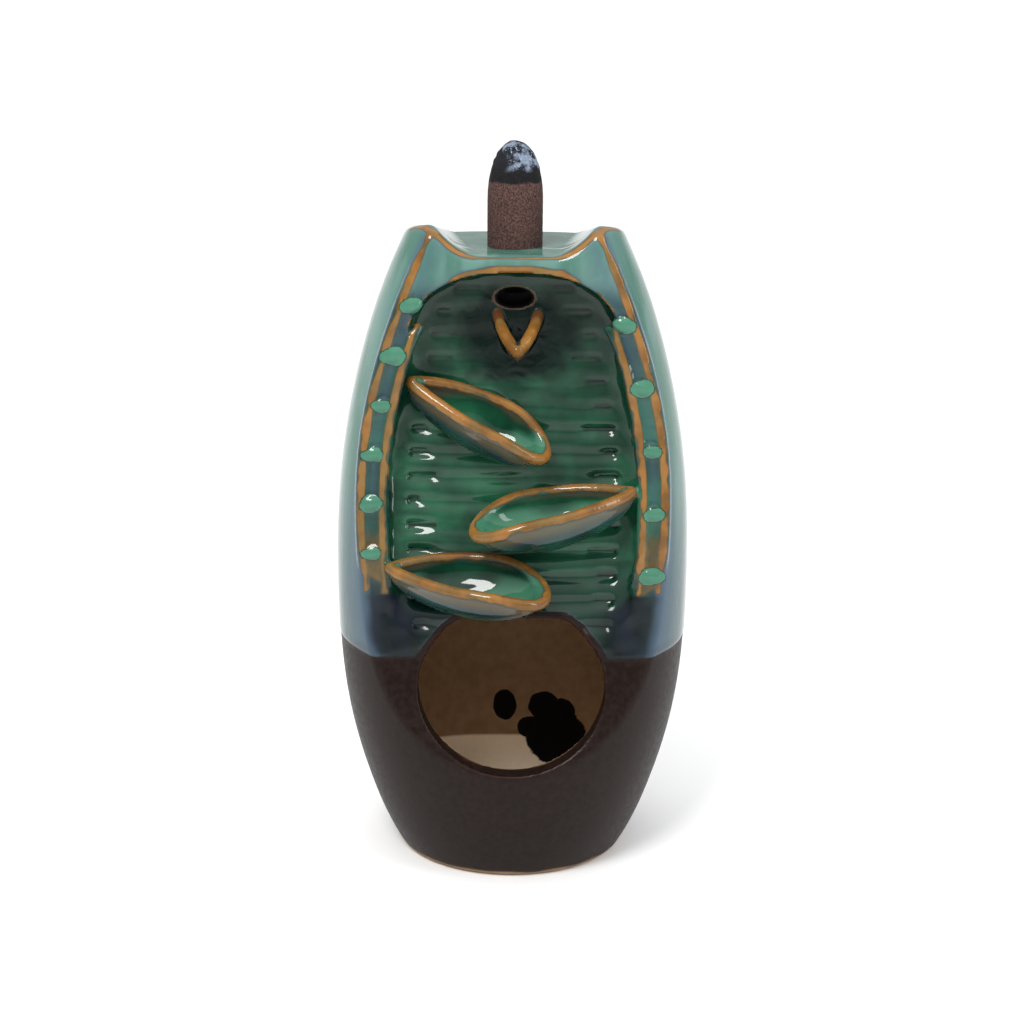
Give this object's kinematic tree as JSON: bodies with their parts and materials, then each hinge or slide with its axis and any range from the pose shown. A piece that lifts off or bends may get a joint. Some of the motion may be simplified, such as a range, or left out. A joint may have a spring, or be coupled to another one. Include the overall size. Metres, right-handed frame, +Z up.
{
  "type": "backflow incense burner",
  "caption": "Glazed ceramic backflow incense burner: barrel body with a slatted waterfall panel, petal bowls and an open lower chamber, with a moulded incense cone on top.",
  "frame": {"origin": "in the plane of the foot ring at its middle, on the centre line of the barrel and the smoke bore", "axes": "+Z up, -Y to the front where the slatted panel and the hole are, +X to the right when seen from the front"},
  "size_m": [0.0847, 0.0687, 0.1744],
  "materials": {
    "glazed_ceramic": "glossy green breaking glaze, orange on thin edges and blue in the flows, over matt dark brown below and bare tan clay inside",
    "pressed_incense": "matt pressed powder, charred band and pale ash at the tip"
  },
  "bodies": {
    "root": {"burner_body": "glazed_ceramic", "incense_cone": "pressed_incense"}
  },
  "joints": []
}
